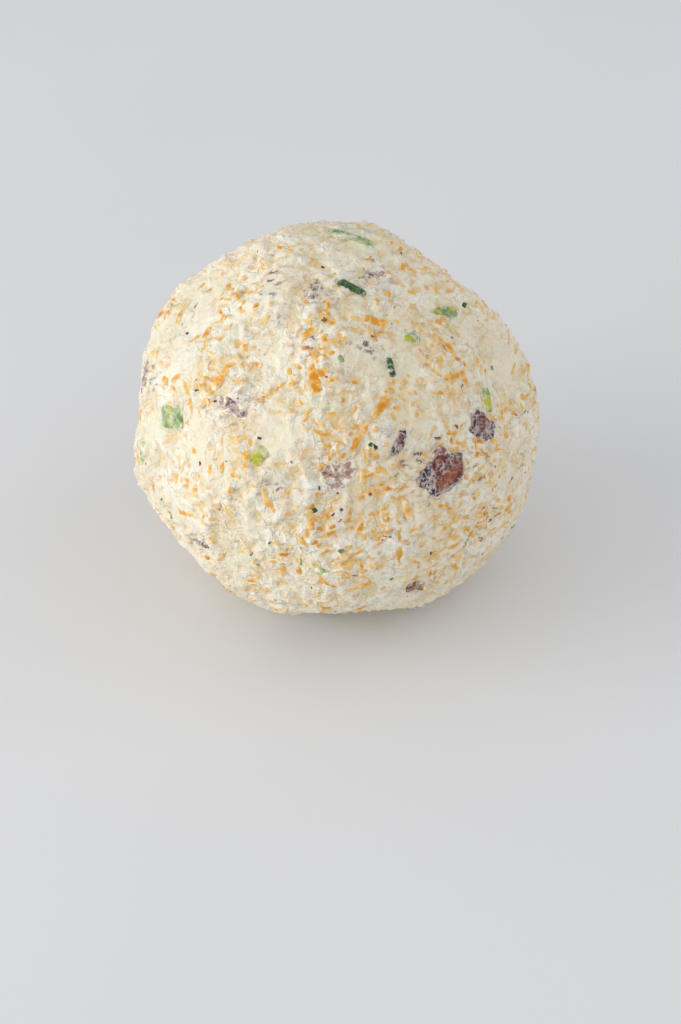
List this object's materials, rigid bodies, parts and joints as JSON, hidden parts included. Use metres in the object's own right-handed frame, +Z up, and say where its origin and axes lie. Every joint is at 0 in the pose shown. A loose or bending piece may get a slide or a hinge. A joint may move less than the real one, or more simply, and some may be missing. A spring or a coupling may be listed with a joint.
{
  "type": "ball of cheese",
  "caption": "Hand-pressed ball of soft cheese with cheddar shreds, diced green pepper and bacon set into its surface, standing on a small flat underside.",
  "frame": {"origin": "on the table plane, under the middle of the ball's outline", "axes": "+Z up, -Y towards the front, where the largest bacon piece is seen, +X to the right seen from the front"},
  "size_m": [0.1118, 0.1134, 0.1073],
  "materials": {
    "cream_cheese": "soft, moist cream-coloured cheese with a fine torn texture, rather matt",
    "cheddar": "fine orange cheddar shreds, slightly waxy, partly smeared with cream cheese",
    "green_pepper": "diced green chilli pepper, dark glossy skin and pale wet flesh",
    "bacon": "crumbled cooked bacon, red-brown to dark purple, greasy sheen"
  },
  "bodies": {
    "root": {"bacon_piece_01": "bacon", "bacon_piece_02": "bacon", "bacon_piece_03": "bacon", "bacon_piece_04": "bacon", "bacon_piece_05": "bacon", "bacon_piece_06": "bacon", "bacon_piece_07": "bacon", "bacon_piece_08": "bacon", "bacon_piece_09": "bacon", "bacon_piece_10": "bacon", "bacon_piece_11": "bacon", "bacon_sliver_01": "bacon", "bacon_sliver_02": "bacon", "bacon_sliver_03": "bacon", "bacon_sliver_04": "bacon", "bacon_sliver_05": "bacon", "cheddar_shred_01": "cheddar", "cheddar_shred_02": "cheddar", "cheddar_shred_03": "cheddar", "cheddar_shred_04": "cheddar", "cheddar_shred_05": "cheddar", "cheddar_shred_06": "cheddar", "cheddar_shred_07": "cheddar", "cheddar_shred_08": "cheddar", "cheddar_shred_09": "cheddar", "cheddar_shred_10": "cheddar", "cheddar_shred_11": "cheddar", "cheddar_shred_12": "cheddar", "cheddar_shred_13": "cheddar", "cheddar_shred_14": "cheddar", "cheddar_shred_15": "cheddar", "cheddar_shred_16": "cheddar", "cheddar_shred_17": "cheddar", "cheddar_shred_18": "cheddar", "cheddar_shred_19": "cheddar", "cheddar_shred_20": "cheddar", "cheddar_shred_21": "cheddar", "cheddar_shred_22": "cheddar", "cheese_mass": "cream_cheese", "pepper_piece_01": "green_pepper", "pepper_piece_02": "green_pepper", "pepper_piece_03": "green_pepper", "pepper_piece_04": "green_pepper", "pepper_piece_05": "green_pepper", "pepper_piece_06": "green_pepper", "pepper_piece_07": "green_pepper", "pepper_piece_08": "green_pepper", "pepper_piece_09": "green_pepper", "pepper_piece_10": "green_pepper", "pepper_piece_11": "green_pepper", "pepper_piece_12": "green_pepper", "pepper_piece_13": "green_pepper", "pepper_piece_14": "green_pepper", "pepper_sliver_01": "green_pepper", "pepper_sliver_02": "green_pepper", "pepper_sliver_03": "green_pepper", "pepper_sliver_04": "green_pepper"}
  },
  "joints": []
}
